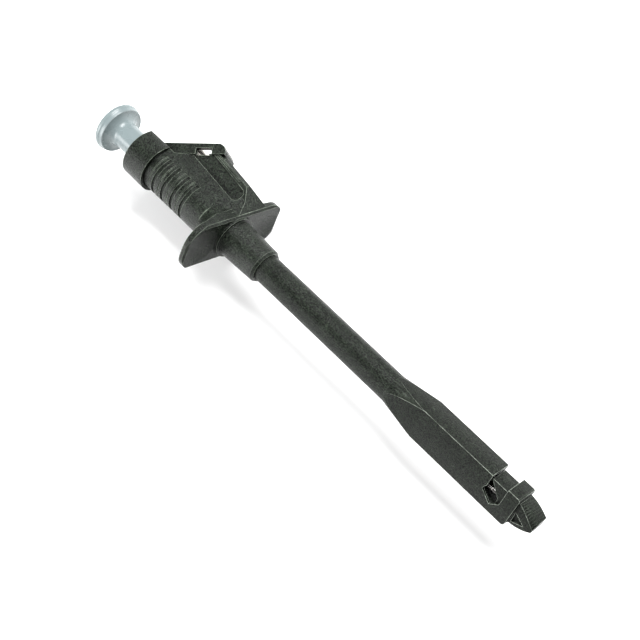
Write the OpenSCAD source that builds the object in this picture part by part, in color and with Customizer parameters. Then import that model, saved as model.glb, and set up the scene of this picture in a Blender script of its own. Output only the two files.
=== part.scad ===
// Clamp-type test probe: thumb plunger, finger flange, side socket and a sliding hook jaw.
// The probe's axis lies along +X, towards the tip. The wing points along +Y and +Z is up.
// The origin is on the axis, where the shaft leaves the nose of the handle.

/* [Handle] */
// Length from the nose's mouth back to the barrel's rear end
handle_len = 48.8; // [46:0.1:59]
// Radius of the barrel between the collar and the flange
barrel_r = 6.15; // [6:0.05:7.2]
// Distance from the nose's mouth back to the flange's front face
nose_len = 13.2; // [11.5:0.1:16]
// Radius of the nose where it meets the flange
nose_root_r = 5.4; // [5.1:0.05:6.1]
// Radius of the nose at its mouth
nose_tip_r = 4.95; // [4.7:0.05:5.3]
// Number of grip grooves around the barrel
groove_count = 4; // [2:1:5]
// Distance from one grip groove to the next
groove_pitch = 3.75; // [2.6:0.05:3.8]

/* [Flange] */
// Width of the finger flange from lobe end to lobe end
flange_span = 34; // [28:0.2:42]
// Height of the finger flange
flange_h = 13.4; // [12.8:0.1:16.2]
// Thickness of the finger flange
flange_t = 2.4; // [1.8:0.1:3]
// Turn of the flange and the head about the axis, from the wing
head_roll = 45; // [30:1:60]

/* [Wing and socket] */
// Thickness of the wing
wing_t = 7; // [6.6:0.1:8.4]
// Height of the wing's outer edge above the axis, at its cap end
wing_h = 14.2; // [13.6:0.1:15.4]
// Bore radius of the plug socket
socket_r = 2; // [1.7:0.05:2.05]
// Depth of the socket's bore
socket_depth = 16.5; // [13.7:0.1:16.8]
// Lean of the socket's axis away from the plunger, in degrees
socket_lean = 8; // [6:0.5:9]

/* [End cap] */
// Outer radius of the collar
collar_r = 7.2; // [6.9:0.05:8.6]
// Length of the collar
collar_len = 7.7; // [6.9:0.1:9.2]

/* [Plunger] */
// Radius of the thumb disc
disc_r = 7.3; // [6:0.1:8.8]
// Radius of the plunger's stem
stem_r = 3.75; // [3.1:0.05:3.8]
// Length of the stem outside the cap, below the disc
stem_out = 10; // [8.4:0.1:12]
// Travel of the plunger
stroke = 5.8; // [4.6:0.1:5.9]

/* [Shaft] */
// Outer radius of the shaft
shaft_r = 3.95; // [3.75:0.05:4.1]
// Bore radius of the shaft
shaft_bore_r = 2.9; // [2.85:0.05:3.1]
// Length of the round part of the shaft
shaft_len = 46.9; // [39:0.1:57]
// Length of the flare from round to square
flare_len = 11.3; // [9.4:0.1:13.6]
// Length of the square head
head_len = 30.4; // [29:0.1:36.5]
// Height of the square head
head_h = 9.1; // [8.9:0.1:10.6]
// Width of the square head
head_w = 6.8; // [6.6:0.1:7.6]
// Length of the hook's nose beyond the head
nose_out = 5.9; // [5:0.1:7.2]

/* [Inside] */
// Radius of the push rod
rod_r = 1; // [0.8:0.05:1.05]
// Radius of the conductor rod
wire_r = 0.55; // [0.45:0.05:0.6]
// Radius of the needle
needle_r = 0.5; // [0.4:0.05:0.6]
// Wire radius of the return spring
spring_wire_r = 0.3; // [0.24:0.02:0.36]
// Turns of the return spring
spring_turns = 8; // [5:1:10]

/* [Hidden] */
$fn = 64;

// Clearances
gap = 0.1;          // between fixed pieces that are pushed together
run = 0.05;         // between pieces that slide on each other
eps = 0.02;         // how far a cutter passes a face

// Stations along the axis
flange_front = -nose_len;
flange_back = flange_front - flange_t;
barrel_back = -handle_len;
cap_wall = 1.8;
cap_back = barrel_back - cap_wall - gap;
collar_front = cap_back + collar_len;
disc_front = cap_back - stem_out;
flare_start = shaft_len;
head_start = flare_start + flare_len;
head_end = head_start + head_len;

// Barrel and its bores
spigot_r = 5;                          // the barrel's rear end, inside the cap
spring_bore_r = 4.2;
bush_len = 4;
bush_r = 3.4;
shaft_seat_r = 3.65;                   // bore of the nose for the shaft's rear end
shaft_seat_back = -16.6;
groove_w = 1.1;
groove_d = 0.4;
first_groove = collar_front + 3.2;

// Slanted arm of the cap: its outer face runs from the collar's flat up to the wing's top
arm_t = wing_t + 1;
arm_flat = 5.3;                       // height of the flat on the collar
arm_foot = [cap_back + 4.75, arm_flat];
arm_top = [arm_foot[0] + 12.5, wing_h + 1.25];
arm_len = norm(arm_top - arm_foot);
arm_dir = (arm_top - arm_foot) / arm_len;
arm_in = [arm_dir[1], -arm_dir[0]];    // from the face inwards
arm_plate = 1.3;
arm_skirt = 3.05;
window_from = 9.4;                       // the side window, along the arm
window_to = 14;
window_deep = 1.3;                     // from the face to the window's upper edge

// Wing
wing_slope = 0.117;                    // fall of the outer edge for each millimetre
wing_back = arm_foot + arm_in * (arm_plate + gap);
wing_peak_x = (wing_h - wing_back[1] + wing_back[0] * arm_dir[1] / arm_dir[0])
              / (arm_dir[1] / arm_dir[0]);
panel_d = 0.4;                         // depth of the sunk panel on each side

// Socket, measured from where its axis crosses the arm's face
socket_at = arm_foot + arm_dir * 7.2;
socket_from = 7;                       // where the latch slot starts, along the arm
socket_start = 2;
socket_wall = 0.4;
socket_end_t = 2.8;
socket_end = socket_start + socket_depth + socket_end_t;
liner_wall = 0.3;
chamber_r = socket_r + socket_wall + liner_wall + gap / 2;
link_t = 0.5;
screw_head_r = 1.3;
screw_r = 0.8;

// Conductor, above the rod in the head's frame, and the strip that drops to it from the socket's end
wire_h = 2.1;
wire_y = wire_h * cos(head_roll);
wire_z = wire_h * sin(head_roll);
link_drop = socket_at[1] - (socket_end + link_t / 2) * sin(socket_lean) - wire_y;
link_x = socket_at[0] + socket_end * cos(socket_lean) - link_drop * sin(socket_lean);
wire_back = link_x - 0.4;
bush_back = link_x - 1 - bush_len;
link_room = [link_x - 0.9, min(link_x + 3, shaft_seat_back)];

// Head, in its own frame: height along Y, width along Z
chan_w = head_w - 1.36;
chan_top = head_h / 2 - 1.1;
chan_floor = -(head_h / 2 - 1);
hook_w = chan_w - 2 * run - 0.04;
hook_top = chan_top - run;
hook_floor = chan_floor + run;
bar_top = -2.75;
jaw_end = head_end - 3.6;              // front end of the wire window
jaw_start = jaw_end - 4.85;            // rear end of the wire window
notch_x = jaw_end - 2.1;
notch_bottom = -2.6;
tail_end = jaw_start - 15.8;
tail_len = 8;
pin_x = tail_end - tail_len / 2;
holder_start = tail_end + stroke + 0.7;
holder_len = 5;
needle_h = -1.6;
needle_tip = jaw_end - 1.8;

// Plunger
shoulder_r = spring_bore_r - gap;
shoulder_back = cap_back + cap_wall + gap;
shoulder_len = 3;
washer_t = 0.4;
button_pin_x = shoulder_back + shoulder_len / 2;
stem_front = shoulder_back + shoulder_len;
spring_back = stem_front + washer_t;
seat_t = 0.6;
spring_front = bush_back - seat_t;

module along_x(from, len, r1, r2 = undef) {
    translate([from, 0, 0])
        rotate([0, 90, 0])
            cylinder(h = len, r1 = r1, r2 = is_undef(r2) ? r1 : r2);
}

module ring_x(from, len, outer, inner) {
    difference() {
        along_x(from, len, outer);
        along_x(from - 1, len + 2, inner);
    }
}

// Turns a shape from the wing's frame into the head's frame
module in_head() {
    rotate([head_roll, 0, 0]) children();
}

// A prism drawn in the XY plane and centred on it
module slab(points, t) {
    linear_extrude(height = t, center = true) polygon(points);
}

// Places a shape that is drawn along +X on the socket's axis, pointing into the wing
module on_socket_axis() {
    translate([socket_at[0], socket_at[1], 0])
        rotate([0, 0, -socket_lean])
            children();
}

// Moves to a point that is a given way along the arm and below its face
function on_arm(along, below) = arm_foot + arm_dir * along + arm_in * below;

function wing_top_at(x) = wing_h - wing_slope * (x - wing_peak_x);

// A flat plate whose opposite corners share a radius: big on one diagonal, small on the other
module swept_plate(w, h, big, small, t) {
    linear_extrude(height = t) {
        square([w, h - 2 * big], center = true);
        square([w - 2 * big, h], center = true);
        for (end = [-1, 1]) {
            translate([end * (w / 2 - big), end * (h / 2 - big)]) circle(r = big);
            translate([-end * (w / 2 - small), end * (h / 2 - small)]) circle(r = small);
            translate([end < 0 ? 0 : small - w / 2, end < 0 ? -h / 2 : 0])
                square([w / 2 - small, h / 2]);
            translate([end < 0 ? 0 : -w / 2, end < 0 ? small - h / 2 : 0])
                square([w / 2, h / 2 - small]);
        }
    }
}

// Finger flange: thick at the barrel, thin at its lobes, with a chamfered rim and a dished front
module finger_flange() {
    half = flange_span / 2;
    rim = 0.6;
    deep = 7;
    dish_r = 26;
    in_head()
        difference() {
            intersection() {
                translate([flange_front - deep, 0, 0])
                    rotate([90, 0, 90])
                        swept_plate(flange_h, flange_span, flange_h * 0.46, 4.4, deep);
                rotate([90, 0, 0])
                    slab([
                        [flange_front, half - rim],
                        [flange_front - rim, half + 0.1],
                        [flange_front - rim - 0.9, half + 0.1],
                        [flange_back + 0.2, half * 0.62],
                        [flange_back - 1, half * 0.36],
                        [flange_back - 1, -half * 0.36],
                        [flange_back + 0.2, -half * 0.62],
                        [flange_front - rim - 0.9, -half - 0.1],
                        [flange_front - rim, -half - 0.1],
                        [flange_front, -half + rim]
                    ], 2 * flange_h);
                slab([
                    [flange_front, flange_h / 2 - rim],
                    [flange_front - rim, flange_h / 2 + 0.1],
                    [flange_front - deep - 1, flange_h / 2 + 0.1],
                    [flange_front - deep - 1, -flange_h / 2 - 0.1],
                    [flange_front - rim, -flange_h / 2 - 0.1],
                    [flange_front, -flange_h / 2 + rim]
                ], 2 * flange_span);
            }
            for (side = [-1, 1])
                translate([flange_front + dish_r - 0.5, 0, side * half * 0.66])
                    sphere(r = dish_r);
        }
}

module wing_blank() {
    root_x = flange_front - 0.6;
    slab([
        wing_back,
        [wing_peak_x, wing_h],
        [root_x, wing_top_at(root_x)],
        [root_x, 0],
        [wing_back[0], 0]
    ], wing_t);
}

// Web that spreads from the wing's sides to the barrel, kept clear of the cap's skirt
module wing_web() {
    low = arm_flat - 0.15;
    from = collar_front + 0.15;
    skirt = arm_skirt + 0.15;
    foot = on_arm((skirt * arm_dir[0] - arm_flat + low) / arm_dir[1], skirt);
    intersection() {
        translate([barrel_back, 0, 0])
            rotate([90, 0, 90])
                linear_extrude(height = flange_front - 0.6 - barrel_back)
                    polygon([
                        [8.6, wing_t / 2],
                        [barrel_r * 0.5, barrel_r * 0.866 - 0.02],
                        [0, 0],
                        [barrel_r * 0.5, -barrel_r * 0.866 + 0.02],
                        [8.6, -wing_t / 2]
                    ]);
        slab([
            [from, low],
            [foot[0], low],
            on_arm(arm_len, skirt),
            [flange_front, wing_h],
            [flange_front, -1],
            [from, -1]
        ], 30);
    }
}

module wing_edge_chamfers() {
    c = 0.9;
    for (side = [-1, 1])
        translate([wing_peak_x, wing_h, side * wing_t / 2])
            rotate([0, 0, -atan(wing_slope)])
                rotate([45, 0, 0])
                    cube([60, c * sqrt(2), c * sqrt(2)], center = true);
}

module wing_panels() {
    end_x = flange_back - 2.4;
    for (side = [-1, 1])
        translate([0, 0, side * (wing_t / 2 - panel_d + 1.5)])
            slab([
                [wing_back[0] + 4.4, 8.7],
                [wing_back[0] + 4.4, 13],
                [wing_peak_x, wing_h - 2],
                [end_x - 0.8, wing_top_at(end_x) - 2.1],
                [end_x, wing_top_at(end_x) - 2.9],
                [end_x, 7.2],
                [end_x - 1, 6.5]
            ], 3);
}

module wing_edge_grooves() {
    for (side = [-1, 1])
        translate([wing_peak_x, wing_h - 1.4, side * wing_t / 2])
            rotate([0, 0, -atan(wing_slope)])
                translate([6, 0, 0])
                    cube([10.6, 0.3, 0.4], center = true);
}

module grip_grooves() {
    for (i = [0 : groove_count - 1])
        translate([first_groove + i * groove_pitch, 0, 0]) {
            ring_x(0, groove_w, barrel_r + 1, barrel_r - groove_d);
            ring_x(-1.3, 0.3, barrel_r + 1, barrel_r - 0.15);
        }
}

// Plane that trims the wing down to the straight edge of the flange
module flange_trim() {
    in_head()
        translate([flange_front - 0.6, flange_h / 2, 0])
            rotate([0, 0, 142])
                translate([-20, -20, -20])
                    cube([40, 20, 40]);
}

module handle_body() {
    color("dimgray")
    difference() {
        union() {
            difference() {
                along_x(collar_front - 1, flange_back - collar_front + 1 + eps, barrel_r);
                grip_grooves();
            }
            along_x(flange_back - 3.2, 3.4, barrel_r - 0.05, barrel_r + 0.7);
            along_x(barrel_back, collar_front - barrel_back, spigot_r);
            finger_flange();
            along_x(flange_front - eps, 0.6, nose_root_r + 0.8);
            along_x(flange_front - eps, nose_len - 0.8 + eps, nose_root_r, nose_tip_r);
            along_x(-0.8 - eps, 0.8, nose_tip_r, nose_tip_r - 0.5);
            difference() {
                union() {
                    wing_blank();
                    wing_web();
                }
                wing_edge_chamfers();
                wing_panels();
                wing_edge_grooves();
                flange_trim();
            }
        }
        along_x(barrel_back - 1, bush_back - barrel_back + 1, spring_bore_r);
        along_x(bush_back - 1, shaft_seat_back - bush_back + 1 + eps, bush_r);
        along_x(shaft_seat_back, -shaft_seat_back + 1, shaft_seat_r);
        on_socket_axis() along_x(-6, socket_end + 7.6, chamber_r);
        translate([link_room[0], -1, -1.5]) cube([link_room[1] - link_room[0], 9.5, 3]);
        translate([-8, 0, 0]) rotate([180, 0, 0]) cylinder(h = 9, r = 0.75);
        // notch under the cap's side windows
        slab([on_arm(window_from + 0.2, arm_plate - 1),
              on_arm(window_to - 0.4, arm_plate - 1),
              on_arm(window_to - 0.4, arm_skirt),
              on_arm(window_from + 0.2, arm_skirt)], wing_t + 2);
    }
}

module end_cap() {
    color("dimgray")
    difference() {
        union() {
            difference() {
                along_x(cap_back, collar_len, collar_r);
                translate([cap_back - 1, arm_flat, -collar_r])
                    cube([collar_len + 2, collar_r, 2 * collar_r]);
            }
            slab([
                arm_foot,
                arm_top,
                arm_top + [1.4, 0.15],
                arm_top + [2.7, -0.55],
                [arm_top[0] + 3.1, wing_top_at(arm_top[0] + 3.1) + gap],
                [arm_top[0] + 2.2, wing_top_at(arm_top[0]) - 0.8],
                on_arm(arm_len, arm_skirt),
                on_arm((arm_skirt * arm_dir[0]) / arm_dir[1], arm_skirt),
                [collar_front, arm_flat - eps],
                [collar_front, 3],
                [arm_foot[0], 3]
            ], arm_t);
        }
        // stem hole, seal groove and the seat for the barrel's rear end
        along_x(cap_back - 1, 5, stem_r + run);
        along_x(cap_back + 0.4, 0.9, stem_r + 0.95);
        along_x(cap_back + cap_wall, collar_len, spigot_r + gap);
        along_x(collar_front - 1.2, 2, barrel_r + 0.2);
        // room for the wing
        slab([
            wing_back - arm_in * gap,
            [wing_peak_x - gap * arm_dir[0] * 2, wing_h + gap],
            [wing_peak_x + 12, wing_top_at(wing_peak_x + 12) + gap],
            [wing_peak_x + 12, -2],
            [wing_back[0], -2]
        ], wing_t + 2 * gap);
        // mouth of the socket, and the latch slot that runs up from it
        on_socket_axis() along_x(-8, 12, socket_r + socket_wall);
        slab([on_arm(socket_from, -2), on_arm(window_to - 0.4, -2),
              on_arm(window_to - 0.4, arm_plate + 1), on_arm(socket_from, arm_plate + 1)],
             2 * (socket_r + socket_wall));
        // side windows in the skirt
        slab([on_arm(window_from, window_deep), on_arm(window_to, window_deep),
              on_arm(window_to, arm_skirt + 2), on_arm(window_from, arm_skirt + 2)],
             arm_t + 1);
    }
}

// Flare from the round shaft to the square head, then the head itself
module head_blank() {
    wide = shaft_r + 0.05;
    corner = norm([head_h, head_w]) / 2 + 0.03;
    lead = 1;                          // how far the cone starts inside the round shaft
    in_head() {
        intersection() {
            along_x(flare_start - lead, flare_len + lead,
                    shaft_r - lead * (corner - shaft_r) / flare_len, corner);
            slab([
                [flare_start - lead, wide],
                [flare_start, wide],
                [head_start, head_h / 2],
                [head_start + 1, head_h / 2],
                [head_start + 1, -head_h / 2],
                [head_start, -head_h / 2],
                [flare_start, -wide],
                [flare_start - lead, -wide]
            ], 3 * head_h);
            rotate([90, 0, 0])
                slab([
                    [flare_start - lead, wide],
                    [flare_start, wide],
                    [head_start, head_w / 2],
                    [head_start + 1, head_w / 2],
                    [head_start + 1, -head_w / 2],
                    [head_start, -head_w / 2],
                    [flare_start, -wide],
                    [flare_start - lead, -wide]
                ], 3 * head_h);
        }
        slab([
            [head_start - eps, head_h / 2],
            [head_end - 0.5, head_h / 2],
            [head_end - 0.14, head_h / 2 - 0.14],
            [head_end, head_h / 2 - 0.5],
            [head_end, -head_h / 2 + 0.8],
            [head_end - 0.24, -head_h / 2 + 0.24],
            [head_end - 0.8, -head_h / 2],
            [head_start - eps, -head_h / 2]
        ], head_w);
    }
}

module shaft_tube() {
    color("dimgray")
    difference() {
        union() {
            along_x(shaft_seat_back + gap, -shaft_seat_back, shaft_seat_r - gap / 2);
            along_x(0, flare_start + 0.4, shaft_r);
            head_blank();
        }
        along_x(shaft_seat_back - 1, head_start - shaft_seat_back + 1, shaft_bore_r);
        in_head() {
            // channel for the hook
            translate([head_start - 2.4, chan_floor, -chan_w / 2])
                cube([head_len + 4, chan_top - chan_floor, chan_w]);
            // wire window, with a notch that centres the wire
            slab([
                [jaw_start, head_h],
                [jaw_start, 1.2],
                [jaw_start - 0.6, -0.4],
                [notch_x, notch_bottom],
                [jaw_end, -0.7],
                [jaw_end, head_h]
            ], head_w + 2);
        }
        translate([-8, 0, 0]) rotate([180, 0, 0]) cylinder(h = 9, r = 0.75);
    }
}

module shaft_lock_pin() {
    color("silver")
        translate([-8, 0, -shaft_bore_r - gap])
            rotate([180, 0, 0])
                cylinder(h = nose_tip_r - shaft_bore_r - 0.1, r = 0.75 - gap / 4);
}

module guide_bush() {
    color("wheat")
        ring_x(bush_back, bush_len, bush_r - gap / 2, rod_r + run);
}

module spring_seat() {
    color("silver")
        ring_x(spring_front, seat_t, spring_bore_r - gap / 2, rod_r + 0.3);
}

module rod_guides() {
    color("wheat")
        in_head()
            for (x = [6, flare_start - 5])
                difference() {
                    along_x(x, 3, shaft_bore_r - gap / 2);
                    along_x(x - 1, 5, rod_r + 0.3 + run);
                    translate([0, wire_h, 0]) along_x(x - 1, 5, wire_r + gap / 2);
                }
}

module needle_holder() {
    color("goldenrod")
        in_head()
            difference() {
                translate([holder_start, bar_top + 0.15, -hook_w / 2])
                    cube([holder_len, hook_top - bar_top - 0.15, hook_w]);
                translate([0, wire_h, 0]) along_x(holder_start - 1, 4, wire_r + run);
                translate([0, needle_h, 0])
                    along_x(holder_start + 1, holder_len, needle_r + run);
            }
}

module needle() {
    color("gainsboro")
        in_head()
            translate([0, needle_h, 0]) {
                along_x(holder_start + 1.1, needle_tip - 1.7 - holder_start - 1.1, needle_r);
                along_x(needle_tip - 1.7 - eps, 1.7, needle_r, 0.06);
            }
}

module conductor_rod() {
    color("goldenrod")
        in_head()
            translate([0, wire_h, 0])
                along_x(wire_back, holder_start + 2.8 - wire_back, wire_r);
}

module socket_contact() {
    color("gainsboro")
        on_socket_axis()
            difference() {
                along_x(socket_start, socket_end - socket_start, socket_r + socket_wall);
                along_x(socket_start - 1, socket_depth + 1, socket_r);
                along_x(socket_end - socket_end_t - 1, socket_end_t + 2, screw_r + run);
            }
}

module socket_clamp_ring() {
    color("gainsboro")
        on_socket_axis()
            ring_x(socket_start + 3.2, 1.4, socket_r + socket_wall + liner_wall,
                   socket_r + socket_wall + gap / 4);
}

module socket_liner() {
    color("firebrick")
        on_socket_axis()
            ring_x(socket_start + 5, socket_end - socket_start - 5.6,
                   socket_r + socket_wall + liner_wall, socket_r + socket_wall + gap / 4);
}

// Strip from the socket's end down to the conductor's end, with a round eye at each end
module link_strip() {
    eye = 1;
    color("goldenrod")
        difference() {
            union() {
                on_socket_axis() along_x(socket_end, link_t, 1.5);
                on_socket_axis()
                    translate([socket_end, -link_drop, -0.9])
                        cube([link_t, link_drop, 1.8]);
                on_socket_axis()
                    translate([socket_end, -link_drop - 0.3, -0.4])
                        cube([link_t, 1.2, wire_z + 0.4]);
                on_socket_axis()
                    translate([0, -link_drop + 0.1, wire_z])
                        along_x(socket_end, link_t, eye);
            }
            on_socket_axis() along_x(socket_end - 1, 3, screw_r + run);
            in_head()
                translate([0, wire_h, 0]) along_x(wire_back - 2, 6, wire_r + run);
        }
}

module link_screw() {
    color("silver")
        on_socket_axis() {
            along_x(socket_end - 2.4, 2.4 + link_t + eps, screw_r);
            difference() {
                along_x(socket_end + link_t, 0.7, screw_head_r);
                translate([socket_end + link_t + 0.4, -2, -0.2]) cube([1, 4, 0.4]);
            }
        }
}

module wiper_seal() {
    seal = 0.42;
    color("black")
        translate([cap_back + 0.85, 0, 0])
            rotate([0, 90, 0])
                rotate_extrude()
                    translate([stem_r + run + seal, 0])
                        circle(r = seal, $fn = 24);
}

// Thumb disc, flared neck and stem, turned about the axis
module plunger_button() {
    rim = 2.4;
    dome = 0.9;
    neck = min(2.2, stem_out - stroke);
    color("lightsteelblue")
        difference() {
            translate([disc_front, 0, 0])
                rotate([0, 90, 0])
                    rotate_extrude()
                        polygon(concat(
                            [[0, stem_front - disc_front], [stem_r - 0.3, stem_front - disc_front]],
                            [[shoulder_r - 0.2, stem_front - disc_front],
                             [shoulder_r, stem_front - disc_front - 0.2],
                             [shoulder_r, shoulder_back - disc_front],
                             [stem_r, shoulder_back - disc_front]],
                            [for (a = [90 : -15 : 0])
                                [disc_r - 0.5 - (disc_r - 0.5 - stem_r) * sin(a),
                                 neck * (1 - cos(a))]],
                            [for (a = [-60 : 30 : 60])
                                [disc_r - 0.6 + 0.6 * cos(a), -0.5 - rim / 2 + 0.9 * -sin(a)]],
                            [for (a = [70 : -10 : 0])
                                [(disc_r - 0.9) * sin(a) / sin(70), -rim - dome * cos(a)]]
                        ));
            along_x(disc_front + 1, stem_front - disc_front + 1, rod_r + 0.02);
            translate([button_pin_x, 0, -6]) cylinder(h = 12, r = 0.52);
        }
}

module push_rod() {
    color("silver")
        difference() {
            along_x(disc_front + 1.2, tail_end - 1 - disc_front - 1.2, rod_r);
            translate([button_pin_x, 0, -6]) cylinder(h = 12, r = 0.52);
            in_head() translate([pin_x, 0, -6]) cylinder(h = 12, r = 0.52);
        }
}

module button_pin() {
    color("silver")
        translate([button_pin_x, 0, -shoulder_r + 0.2])
            cylinder(h = 2 * shoulder_r - 0.4, r = 0.5);
}

module spring_washer() {
    color("silver")
        ring_x(stem_front + eps, washer_t - eps, shoulder_r - gap, rod_r + 0.1);
}

module rod_sheath() {
    color("ivory")
        ring_x(-14, tail_end - tail_len + 12, rod_r + 0.28, rod_r + 0.02);
}

module hook() {
    color("dimgray")
    in_head()
        difference() {
            union() {
                // tail block, bar, jaw and the body under the bridge
                translate([tail_end - tail_len, hook_floor, -hook_w / 2])
                    cube([tail_len, 1.3 - hook_floor, hook_w]);
                translate([tail_end - 1, hook_floor, -hook_w / 2])
                    cube([jaw_end - tail_end, bar_top - hook_floor, hook_w]);
                slab([
                    [jaw_start + 0.25, hook_top],
                    [jaw_start + 0.25, hook_top - 0.4],
                    [jaw_end - 1.1, -0.3],
                    [jaw_end - 1.1, hook_floor],
                    [head_end + 0.2, hook_floor],
                    [head_end + 0.2, hook_top]
                ], hook_w);
                hook_nose();
            }
            along_x(tail_end - tail_len - 1, tail_len, rod_r + 0.02);
            translate([pin_x, 0, -6]) cylinder(h = 12, r = 0.52);
            // sunk triangle on each side of the nose
            for (side = [-1, 1])
                translate([0, 0, side * hook_w / 2])
                    slab([
                        [head_end + 0.5, hook_top - 2.9],
                        [head_end + nose_out - 2.2, -1.1],
                        [head_end + 0.7, hook_floor + 1.1]
                    ], 0.9);
        }
}

// Wedge-shaped nose: its curved top twists down to one side, and its underside curves up
module hook_nose() {
    steps = 10;
    top = hook_top - 0.02;
    under = hook_floor + 0.35;
    ring_at = function(t) let(x = head_end + nose_out * t, w = hook_w / 2 - 0.02 - 0.2 * pow(t, 5))
        [[x, under + (-1.1 - under) * pow(t, 1.9), -w],
         [x, under + (-1.1 - under) * pow(t, 1.9), w],
         [x, top - (top + 0.25) * pow(t, 1.25), w],
         [x, top - (top - 1.45) * pow(t, 1.6), -w]];
    points = [for (i = [0 : steps]) each ring_at(i / steps)];
    walls = [for (i = [0 : steps - 1], k = [0 : 3])
        let(n = (k + 1) % 4)
        [i * 4 + k, i * 4 + n, (i + 1) * 4 + n, (i + 1) * 4 + k]];
    polyhedron(points = points,
               faces = concat(walls, [[3, 2, 1, 0]], [[for (k = [0 : 3]) steps * 4 + k]]),
               convexity = 4);
}

module hook_pin() {
    color("silver")
        in_head()
            translate([pin_x, 0, -hook_w / 2 + 0.05])
                cylinder(h = hook_w - 0.1, r = 0.5);
}

// Coil spring as one swept tube: eight sides, a ring of points every thirty degrees
module return_spring() {
    sides = 8;
    per_turn = 12;
    rings = spring_turns * per_turn;
    coil_r = spring_bore_r - spring_wire_r - 0.25;
    first = spring_back + spring_wire_r + 0.03;
    last = spring_front - spring_wire_r - 0.03;
    ring_at = function(i) let(a = 360 * i / per_turn)
        [for (k = [0 : sides - 1])
            let(b = 360 * k / sides, r = coil_r + spring_wire_r * cos(b))
            [first + (last - first) * i / rings + spring_wire_r * sin(b), r * cos(a), r * sin(a)]];
    points = [for (i = [0 : rings]) each ring_at(i)];
    walls = [for (i = [0 : rings - 1], k = [0 : sides - 1])
        let(n = (k + 1) % sides)
        [i * sides + k, i * sides + n, (i + 1) * sides + n, (i + 1) * sides + k]];
    back = [for (k = [sides - 1 : -1 : 0]) k];
    front = [for (k = [0 : sides - 1]) rings * sides + k];
    color("silver")
        polyhedron(points = points, faces = concat(walls, [back], [front]), convexity = 10);
}

handle_body();
end_cap();
shaft_tube();
shaft_lock_pin();
guide_bush();
spring_seat();
rod_guides();
needle_holder();
needle();
conductor_rod();
socket_contact();
socket_clamp_ring();
socket_liner();
link_strip();
link_screw();
wiper_seal();
plunger_button();
push_rod();
button_pin();
spring_washer();
rod_sheath();
hook();
hook_pin();
return_spring();
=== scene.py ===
"""Clamp-type test probe lying on a pale floor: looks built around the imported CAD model.

The probe's axis is X, towards the tip. The wing points along Y and Z is up. All sizes are in metres.
"""
import math

import bpy
import numpy as np
from mathutils import Matrix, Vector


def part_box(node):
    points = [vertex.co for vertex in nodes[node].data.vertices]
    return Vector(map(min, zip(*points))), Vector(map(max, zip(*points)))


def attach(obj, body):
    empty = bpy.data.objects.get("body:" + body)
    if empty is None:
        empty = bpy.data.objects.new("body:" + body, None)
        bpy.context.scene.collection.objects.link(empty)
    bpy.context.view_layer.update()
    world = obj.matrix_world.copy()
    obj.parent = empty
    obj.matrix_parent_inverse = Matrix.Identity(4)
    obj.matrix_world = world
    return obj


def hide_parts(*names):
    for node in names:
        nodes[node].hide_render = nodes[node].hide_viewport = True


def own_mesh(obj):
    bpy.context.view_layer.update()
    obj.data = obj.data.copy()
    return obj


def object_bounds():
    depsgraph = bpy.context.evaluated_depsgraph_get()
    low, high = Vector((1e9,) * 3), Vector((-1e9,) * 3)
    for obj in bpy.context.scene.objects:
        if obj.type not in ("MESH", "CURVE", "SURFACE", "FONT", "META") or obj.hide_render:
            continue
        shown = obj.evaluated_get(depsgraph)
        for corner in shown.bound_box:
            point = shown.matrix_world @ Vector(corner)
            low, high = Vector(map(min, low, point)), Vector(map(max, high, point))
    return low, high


MM = 0.001
HEAD_ROLL = math.radians(45.0)   # turn of the flange and the head about the axis
PAINTED_SHADE_REACH = 1.2 * MM         # how near a wall has to be for the painted shade to darken the plastic
FLOOR_GAP = 0.2 * MM             # from the probe's lowest point down to the floor

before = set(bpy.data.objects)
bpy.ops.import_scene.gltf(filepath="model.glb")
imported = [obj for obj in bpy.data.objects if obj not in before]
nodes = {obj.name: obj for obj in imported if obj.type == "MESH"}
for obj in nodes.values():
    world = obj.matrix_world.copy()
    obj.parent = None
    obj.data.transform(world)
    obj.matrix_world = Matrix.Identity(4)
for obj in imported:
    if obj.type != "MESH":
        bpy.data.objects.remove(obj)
cad_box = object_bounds()


# ---------------------------------------------------------------- shader groups

def new_group(name, inputs, outputs):
    """An empty shader node group. inputs are (name, type, default) and outputs are (name, type)."""
    group = bpy.data.node_groups.new(name, "ShaderNodeTree")
    for label, kind, default in inputs:
        socket = group.interface.new_socket(name=label, in_out="INPUT", socket_type=kind)
        if default is not None:
            socket.default_value = default
    for label, kind in outputs:
        group.interface.new_socket(name=label, in_out="OUTPUT", socket_type=kind)
    return group, group.nodes.new("NodeGroupInput"), group.nodes.new("NodeGroupOutput")


def add_node(tree, kind, **values):
    """A node in tree with its properties set from values."""
    node = tree.nodes.new(kind)
    for key, value in values.items():
        setattr(node, key, value)
    return node


def math_node(tree, operation, first, second=None, clamp=False):
    """A Math node. first and second are sockets or numbers."""
    node = add_node(tree, "ShaderNodeMath", operation=operation, use_clamp=clamp)
    for index, value in enumerate((first, second)):
        if value is None:
            continue
        if isinstance(value, (int, float)):
            node.inputs[index].default_value = value
        else:
            tree.links.new(value, node.inputs[index])
    return node.outputs[0]


def noise(tree, vector, scale, detail=3.0, rough=0.55):
    """The value of a Noise Texture, with features about 1 / scale metres across."""
    node = add_node(tree, "ShaderNodeTexNoise")
    tree.links.new(vector, node.inputs["Vector"])
    if isinstance(scale, (int, float)):
        node.inputs["Scale"].default_value = scale
    else:
        tree.links.new(scale, node.inputs["Scale"])
    node.inputs["Detail"].default_value = detail
    node.inputs["Roughness"].default_value = rough
    return node.outputs[0]


def map_range(tree, value, low, high, out_low=0.0, out_high=1.0):
    """A value rescaled from low..high to out_low..out_high and clamped."""
    node = add_node(tree, "ShaderNodeMapRange", clamp=True)
    tree.links.new(value, node.inputs["Value"])
    limits = {"From Min": low, "From Max": high, "To Min": out_low, "To Max": out_high}
    for label, number in limits.items():
        node.inputs[label].default_value = number
    return node.outputs["Result"]


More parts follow.
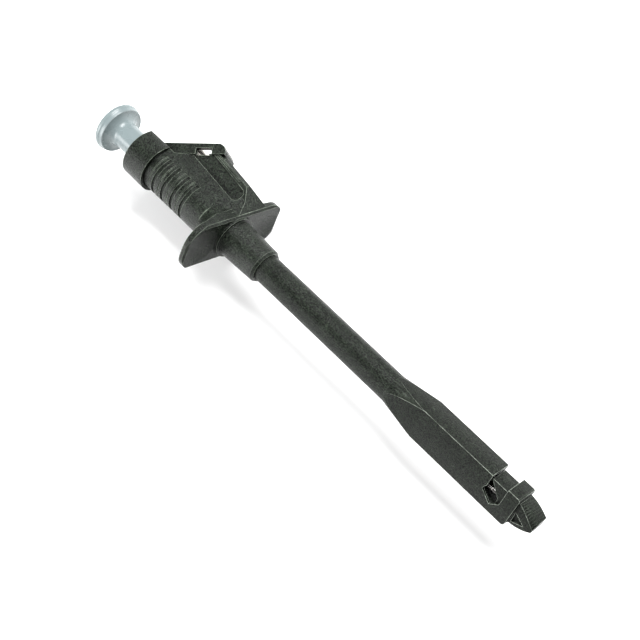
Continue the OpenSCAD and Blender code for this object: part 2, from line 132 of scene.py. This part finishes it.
def mix_colours(tree, factor, first, second, blend="MIX"):
    """A colour mix. first and second are sockets or (r, g, b)."""
    node = add_node(tree, "ShaderNodeMix", data_type="RGBA", blend_type=blend)
    for index, value in ((0, factor), (6, first), (7, second)):
        if isinstance(value, (int, float)):
            node.inputs[index].default_value = value
        elif isinstance(value, tuple):
            node.inputs[index].default_value = (*value, 1.0)
        else:
            tree.links.new(value, node.inputs[index])
    return node.outputs[2]


def build_edge_group():
    """Edge mask: 0 on flat ground, towards 1 where the rounded normal turns away from the true one.

    A second, broken noise keeps the rub and the painted highlight uneven along an edge."""
    group, gin, gout = new_group(
        "edge_rub_and_highlight",
        [("Rounded", "NodeSocketVector", None), ("True", "NodeSocketVector", None),
         ("Place", "NodeSocketVector", None), ("Patch Scale", "NodeSocketFloat", 400.0),
         ("Gain", "NodeSocketFloat", 6.0)],
        [("Mask", "NodeSocketFloat")])
    dot = add_node(group, "ShaderNodeVectorMath", operation="DOT_PRODUCT")
    group.links.new(gin.outputs["Rounded"], dot.inputs[0])
    group.links.new(gin.outputs["True"], dot.inputs[1])
    turned = math_node(group, "SUBTRACT", 1.0, dot.outputs["Value"])
    gained = math_node(group, "MULTIPLY", turned, gin.outputs["Gain"], clamp=True)
    patch = noise(group, gin.outputs["Place"], gin.outputs["Patch Scale"], 4.0, 0.6)
    broken = map_range(group, patch, 0.36, 0.62, 0.25, 1.0)
    group.links.new(math_node(group, "MULTIPLY", gained, broken, clamp=True), gout.inputs["Mask"])
    return group


def build_grain_group():
    """Moulded grain: two sizes of noise, the coarser one breaking up the finer, as a height from 0 to 1."""
    group, gin, gout = new_group(
        "moulded_grain",
        [("Place", "NodeSocketVector", None), ("Fine", "NodeSocketFloat", 6500.0),
         ("Coarse", "NodeSocketFloat", 1700.0)],
        [("Height", "NodeSocketFloat"), ("Speckle", "NodeSocketFloat")])
    fine = noise(group, gin.outputs["Place"], gin.outputs["Fine"], 2.0, 0.6)
    coarse = noise(group, gin.outputs["Place"], gin.outputs["Coarse"], 3.0, 0.6)
    height = math_node(group, "ADD", math_node(group, "MULTIPLY", fine, 0.6),
                       math_node(group, "MULTIPLY", coarse, 0.4))
    group.links.new(height, gout.inputs["Height"])
    group.links.new(map_range(group, height, 0.45, 0.60), gout.inputs["Speckle"])
    return group


EDGE_GROUP = build_edge_group()
GRAIN_GROUP = build_grain_group()


# ---------------------------------------------------------------- materials

def start_material(name, roughness, metallic=0.0, specular=0.5):
    """A material with only a Principled shader and an output, and Object coordinates ready."""
    material = bpy.data.materials.new(name)
    material.use_nodes = True
    tree = material.node_tree
    tree.nodes.clear()
    out = tree.nodes.new("ShaderNodeOutputMaterial")
    shader = tree.nodes.new("ShaderNodeBsdfPrincipled")
    tree.links.new(shader.outputs[0], out.inputs[0])
    shader.inputs["Roughness"].default_value = roughness
    shader.inputs["Metallic"].default_value = metallic
    shader.inputs["Specular IOR Level"].default_value = specular
    place = tree.nodes.new("ShaderNodeTexCoord").outputs["Object"]
    return material, tree, shader, place


def edge_mask(tree, place, radius, gain, patch_scale=400.0):
    """The edge group placed in a material, with its rounded normal. Returns (mask, rounded normal)."""
    rounded = add_node(tree, "ShaderNodeBevel", samples=6)
    rounded.inputs["Radius"].default_value = radius
    true = tree.nodes.new("ShaderNodeNewGeometry")
    group = add_node(tree, "ShaderNodeGroup")
    group.node_tree = EDGE_GROUP
    tree.links.new(rounded.outputs[0], group.inputs["Rounded"])
    tree.links.new(true.outputs["True Normal"], group.inputs["True"])
    tree.links.new(place, group.inputs["Place"])
    group.inputs["Patch Scale"].default_value = patch_scale
    group.inputs["Gain"].default_value = gain
    return group.outputs["Mask"], rounded.outputs[0]


def crowned_normal(tree, place, normal, crown):
    """The normal plus crown times the unit vector away from the X axis, made one long again."""
    across = add_node(tree, "ShaderNodeVectorMath", operation="MULTIPLY")
    tree.links.new(place, across.inputs[0])
    across.inputs[1].default_value = (0.0, 1.0, 1.0)
    away = add_node(tree, "ShaderNodeVectorMath", operation="NORMALIZE")
    tree.links.new(across.outputs[0], away.inputs[0])
    lean = add_node(tree, "ShaderNodeVectorMath", operation="MULTIPLY_ADD")
    tree.links.new(away.outputs[0], lean.inputs[0])
    lean.inputs[1].default_value = (crown, crown, crown)
    tree.links.new(normal, lean.inputs[2])
    unit = add_node(tree, "ShaderNodeVectorMath", operation="NORMALIZE")
    tree.links.new(lean.outputs[0], unit.inputs[0])
    return unit.outputs[0]


def moulded_plastic(name, colour, pale, rub_and_highlight, roughness, fine=6500.0, coarse=1700.0, depth=0.00006,
                    rub_and_highlight_gain=5.0, rub_and_highlight_radius=0.0004, speckle=0.5, specular=0.5, crown=0.0):
    """Moulded plastic: spots between colour and pale, fewer in crevices as painted shade, a bumpy grain,
    and edges in a pale colour that is partly rubbed wear and partly a painted highlight.

    crown leans the normal away from the probe's axis, as the slightly bowed faces of a moulding do."""
    material, tree, shader, place = start_material(name, roughness, specular=specular)
    grain = add_node(tree, "ShaderNodeGroup")
    grain.node_tree = GRAIN_GROUP
    tree.links.new(place, grain.inputs["Place"])
    grain.inputs["Fine"].default_value = fine
    grain.inputs["Coarse"].default_value = coarse
    cloud = noise(tree, place, 260.0, 4.0, 0.65)
    cloud_mask = map_range(tree, cloud, 0.35, 0.65, 0.55, 1.0)
    # painted shade: an ambient occlusion mask darkens the plastic in crevices and between parts, by
    # thinning the pale spots and the edge colour there
    painted_shade_ao = add_node(tree, "ShaderNodeAmbientOcclusion", samples=6)
    painted_shade_ao.inputs["Distance"].default_value = PAINTED_SHADE_REACH
    painted_crevice_shade = map_range(tree, painted_shade_ao.outputs["AO"], 0.45, 0.9)
    strength = math_node(tree, "MULTIPLY", grain.outputs["Speckle"], speckle)
    spots = math_node(tree, "MULTIPLY", strength, math_node(tree, "MULTIPLY", cloud_mask, painted_crevice_shade))
    base = mix_colours(tree, spots, colour, pale)
    edge, rounded = edge_mask(tree, place, rub_and_highlight_radius, rub_and_highlight_gain)
    mask = math_node(tree, "MULTIPLY", edge, painted_crevice_shade)
    # painted highlight and wear: the edge mask mixes a pale colour into the edges, partly rubbed wear and
    # partly a painted highlight along them
    tree.links.new(mix_colours(tree, mask, base, rub_and_highlight), shader.inputs["Base Color"])
    uneven = map_range(tree, cloud, 0.3, 0.7, roughness - 0.06, roughness + 0.06)
    rough = math_node(tree, "ADD", uneven, math_node(tree, "MULTIPLY", mask, -0.12))
    tree.links.new(rough, shader.inputs["Roughness"])
    bump = tree.nodes.new("ShaderNodeBump")
    bump.inputs["Strength"].default_value = 1.0
    bump.inputs["Distance"].default_value = depth
    tree.links.new(grain.outputs["Height"], bump.inputs["Height"])
    normal = crowned_normal(tree, place, rounded, crown) if crown else rounded
    tree.links.new(normal, bump.inputs["Normal"])
    tree.links.new(bump.outputs[0], shader.inputs["Normal"])
    return material


def metal(name, colour, tarnish, roughness, stretch, edge_radius=0.00012):
    """Drawn or turned metal: fine lines along or round the piece, with a little tarnish in patches."""
    material, tree, shader, place = start_material(name, roughness, metallic=1.0)
    turn = add_node(tree, "ShaderNodeMapping")
    turn.inputs["Scale"].default_value = stretch
    tree.links.new(place, turn.inputs["Vector"])
    lines = noise(tree, turn.outputs[0], 9000.0, 2.0, 0.5)
    patch = noise(tree, place, 900.0, 4.0, 0.6)
    mask = map_range(tree, patch, 0.45, 0.75, 0.0, 0.6)
    tree.links.new(mix_colours(tree, mask, colour, tarnish), shader.inputs["Base Color"])
    rough = math_node(tree, "ADD", map_range(tree, lines, 0.3, 0.7, roughness - 0.06, roughness + 0.08),
                      math_node(tree, "MULTIPLY", mask, 0.15))
    tree.links.new(rough, shader.inputs["Roughness"])
    rounded = add_node(tree, "ShaderNodeBevel", samples=4)
    rounded.inputs["Radius"].default_value = edge_radius
    bump = tree.nodes.new("ShaderNodeBump")
    bump.inputs["Strength"].default_value = 0.6
    bump.inputs["Distance"].default_value = 0.00001
    tree.links.new(lines, bump.inputs["Height"])
    tree.links.new(rounded.outputs[0], bump.inputs["Normal"])
    tree.links.new(bump.outputs[0], shader.inputs["Normal"])
    return material


# the third colour of each moulded plastic is its edge colour, partly rubbed wear and partly a painted
# highlight
BODY = moulded_plastic("handle_plastic", (0.0006, 0.0009, 0.0006), (0.032, 0.042, 0.030),
                       (0.30, 0.35, 0.28), 0.24, fine=4000.0, coarse=2100.0, depth=0.00022, rub_and_highlight_gain=10.0,
                       rub_and_highlight_radius=0.00018, speckle=0.95, specular=0.15)
SHAFT = moulded_plastic("shaft_plastic", (0.0006, 0.0009, 0.0006), (0.026, 0.034, 0.024),
                        (0.42, 0.47, 0.40), 0.24, fine=4000.0, coarse=2100.0, depth=0.00022, rub_and_highlight_gain=12.0,
                        rub_and_highlight_radius=0.00020, speckle=0.95, specular=0.09, crown=0.4)
BUTTON = moulded_plastic("button_plastic", (0.155, 0.190, 0.195), (0.175, 0.210, 0.215),
                         (0.32, 0.36, 0.36), 0.28, fine=3000.0, coarse=700.0, depth=0.000015, speckle=0.3)
ACETAL = moulded_plastic("acetal", (0.74, 0.71, 0.62), (0.80, 0.77, 0.69), (0.86, 0.84, 0.78), 0.38,
                         depth=0.00001)
LINER = moulded_plastic("socket_liner_red", (0.36, 0.022, 0.018), (0.42, 0.032, 0.026),
                        (0.5, 0.08, 0.07), 0.4, depth=0.00001)
SEAL = moulded_plastic("seal_rubber", (0.012, 0.012, 0.012), (0.02, 0.02, 0.02), (0.05, 0.05, 0.05),
                       0.6, depth=0.00002)
STEEL = metal("bright_steel", (0.62, 0.61, 0.59), (0.34, 0.32, 0.29), 0.24, (0.03, 1.0, 1.0))
BRASS = metal("drawn_brass", (0.70, 0.52, 0.24), (0.42, 0.29, 0.13), 0.28, (0.03, 1.0, 1.0))
NICKEL = metal("nickel_plate", (0.68, 0.66, 0.61), (0.46, 0.43, 0.37), 0.2, (0.03, 1.0, 1.0))

FINISH = {
    "handle_body": BODY, "end_cap": BODY, "shaft_tube": SHAFT, "hook": SHAFT,
    "plunger_button": BUTTON, "guide_bush": ACETAL, "rod_guides": ACETAL, "rod_sheath": ACETAL,
    "socket_liner": LINER, "wiper_seal": SEAL, "needle": STEEL, "push_rod": STEEL,
    "button_pin": STEEL, "hook_pin": STEEL, "shaft_lock_pin": STEEL, "spring_seat": STEEL,
    "spring_washer": STEEL, "return_spring": STEEL, "link_screw": STEEL, "needle_holder": BRASS,
    "conductor_rod": BRASS, "link_strip": BRASS, "socket_contact": NICKEL,
    "socket_clamp_ring": NICKEL,
}
for name, material in FINISH.items():
    data = nodes[name].data
    data.materials.clear()
    data.materials.append(material)


# ---------------------------------------------------------------- moulded flare

def closed_loft(name, grid, material, body):
    """A closed ring-shaped piece from a grid of points, shape (around, along, 3), that wraps both ways."""
    around, along = grid.shape[:2]
    index = np.arange(around * along).reshape(around, along)
    across = np.roll(index, -1, axis=0)
    faces = np.stack([index, across, np.roll(across, -1, axis=1), np.roll(index, -1, axis=1)], axis=-1)
    mesh = bpy.data.meshes.new(name)
    mesh.from_pydata(grid.reshape(-1, 3).tolist(), [], faces.reshape(-1, 4).tolist())
    mesh.polygons.foreach_set("use_smooth", np.ones(len(mesh.polygons), dtype=bool))
    mesh.materials.append(material)
    piece = bpy.data.objects.new(name, mesh)
    bpy.context.scene.collection.objects.link(piece)
    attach(piece, body)
    return piece


def rounded_reach(angle, half_y, half_z, power):
    """How far a rounded rectangle reaches from its centre at each angle.

    Its outline is where |y / half_y| ^ power + |z / half_z| ^ power is one."""
    y, z = np.abs(np.cos(angle) / half_y), np.abs(np.sin(angle) / half_z)
    return (y ** power + z ** power) ** (-1.0 / power)


def build_flange_flare():
    """The curved root between the barrel and the flange's back.

    Around the axis it goes from a circle to the flange's rounded outline. Along the axis the radius grows
    with t and the point sits at front - length * (1 - t) ^ 2.2, so the curve leaves the barrel along the
    axis and meets the flange flat. Two inner points close it inside the handle."""
    steps, around = 20, 144
    start_r, length, front = 6.08 * MM, 6.4 * MM, -14.84 * MM
    inner_r = 5.3 * MM
    half_w, half_span, squareness, bend = 6.45 * MM, 16.2 * MM, 4.0, 2.2
    angle = np.linspace(0.0, 2.0 * np.pi, around, endpoint=False)[:, None]
    reach = rounded_reach(angle, half_w, half_span, squareness)
    t = np.linspace(0.0, 1.0, steps)[None, :]
    radius = start_r + (reach - start_r) * t
    x = front - length * (1.0 - t) ** bend + 0.0 * angle
    radius = np.hstack([radius, np.full((around, 2), inner_r)])
    x = np.hstack([x, np.full((around, 1), front), np.full((around, 1), front - length)])
    turned = angle + HEAD_ROLL
    grid = np.stack([x, radius * np.cos(turned), radius * np.sin(turned)], axis=-1)
    return closed_loft("flange_flare", grid, BODY, "handle")


build_flange_flare()


# ---------------------------------------------------------------- return spring

def build_return_spring():
    """The coil spring, built at one length from the model's spring part.

    The centre line is a helix: its angle grows evenly, and its place along X grows with
    u - 0.08 sin(2 pi u) / (2 pi), so the end coils lie a little closer than the middle ones. A circle of
    the wire's radius is carried along it, in the plane of the axis and the radius. The two ends are flat
    faces. It rides on the plunger."""
    wire_r, turns, per_turn, sides, closing = 0.3 * MM, 8, 28, 12, 0.08
    low, high = (np.asarray(corner, float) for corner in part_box("return_spring"))
    coil_r = high[1] - wire_r
    u = np.linspace(0.0, 1.0, turns * per_turn + 1)[:, None]
    share = u - closing * np.sin(2 * np.pi * u) / (2 * np.pi)
    along = low[0] + wire_r + (high[0] - low[0] - 2.0 * wire_r) * share
    turn = 2.0 * np.pi * turns * u
    side = np.linspace(0.0, 2.0 * np.pi, sides, endpoint=False)[None, :]
    radius = coil_r + wire_r * np.cos(side)
    grid = np.stack([along + wire_r * np.sin(side), radius * np.cos(turn), radius * np.sin(turn)], axis=-1)
    index = np.arange(grid.shape[0] * sides).reshape(grid.shape[0], sides)
    across = np.roll(index, -1, axis=1)
    faces = np.stack([index[:-1], index[1:], across[1:], across[:-1]], axis=-1).reshape(-1, 4).tolist()
    faces += [index[0].tolist(), index[-1, ::-1].tolist()]
    mesh = bpy.data.meshes.new("coil_spring")
    mesh.from_pydata(grid.reshape(-1, 3).tolist(), [], faces)
    smooth = np.ones(len(faces), dtype=bool)
    smooth[-2:] = False
    mesh.polygons.foreach_set("use_smooth", smooth)
    mesh.materials.append(STEEL)
    spring = bpy.data.objects.new("coil_spring", mesh)
    bpy.context.scene.collection.objects.link(spring)
    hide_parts("return_spring")
    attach(spring, "plunger")
    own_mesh(spring)


build_return_spring()


# ---------------------------------------------------------------- stage, light and camera

def floor_sheet(half, z):
    """A flat square sheet at height z, half metres from its centre to each side."""
    corners = np.array([[-half, -half, z], [half, -half, z], [half, half, z], [-half, half, z]])
    mesh = bpy.data.meshes.new("floor")
    mesh.from_pydata(corners.tolist(), [], [(0, 1, 2, 3)])
    floor = bpy.data.objects.new("floor", mesh)
    bpy.context.scene.collection.objects.link(floor)
    material = bpy.data.materials.new("pale_floor")
    material.use_nodes = True
    shader = material.node_tree.nodes["Principled BSDF"]
    shader.inputs["Base Color"].default_value = (0.93, 0.93, 0.93, 1.0)
    shader.inputs["Roughness"].default_value = 0.9
    mesh.materials.append(material)
    return floor


floor_sheet(3.0, cad_box[0][2] - FLOOR_GAP)


def soft_light(name, place, target, size, power):
    """A square area light at place, turned to face target."""
    data = bpy.data.lights.new(name, "AREA")
    data.shape = "SQUARE"
    data.size = size
    data.energy = power
    lamp = bpy.data.objects.new(name, data)
    bpy.context.scene.collection.objects.link(lamp)
    forward = one_long(np.asarray(target, float) - np.asarray(place, float))
    stand_at(lamp, place, one_long(np.cross(forward, (0.0, 1.0, 0.01))), forward)
    return lamp


def stand_at(thing, place, right, forward):
    """Stands thing at place, with its X axis along right and its -Z axis along forward."""
    matrix = np.eye(4)
    matrix[:3, 0], matrix[:3, 1], matrix[:3, 2] = right, np.cross(right, forward), -forward
    matrix[:3, 3] = place
    thing.matrix_world = Matrix(matrix.tolist())


def one_long(vector):
    """The vector divided by its own length."""
    return vector / np.linalg.norm(vector)


centre = np.array([0.0155, 0.0, 0.0])
soft_light("key", (0.03, 0.34, 0.50), centre, 0.34, 8.5)
soft_light("fill", (-0.22, -0.50, 0.26), centre, 0.42, 5.2)

world = bpy.data.worlds.new("studio")
world.use_nodes = True
world.node_tree.nodes["Background"].inputs[0].default_value = (1.0, 1.0, 1.0, 1.0)
world.node_tree.nodes["Background"].inputs[1].default_value = 0.36
bpy.context.scene.world = world


def add_camera():
    """The camera: 0.28 m above the shaft, turned so that the probe runs down to the right."""
    place = np.array([0.1294, -0.0219, 0.2779])
    aim = np.array([0.0207, -0.00015, 0.0])
    forward = one_long(aim - place)
    axis = np.array([1.0, 0.0, 0.0])
    flat = one_long(axis - forward * axis.dot(forward))
    other = np.cross(forward, flat)
    turn = math.radians(-43.5)
    # flat = cos(turn) right + sin(turn) up, and other = flat turned a right angle clockwise
    right = math.cos(turn) * flat + math.sin(turn) * other
    data = bpy.data.cameras.new("camera")
    data.sensor_width = 36.0
    data.lens = 66.88125
    data.clip_start = 0.005
    camera = bpy.data.objects.new("camera", data)
    bpy.context.scene.collection.objects.link(camera)
    stand_at(camera, place, right, forward)
    bpy.context.scene.camera = camera


add_camera()
bpy.context.scene.view_settings.view_transform = "Standard"
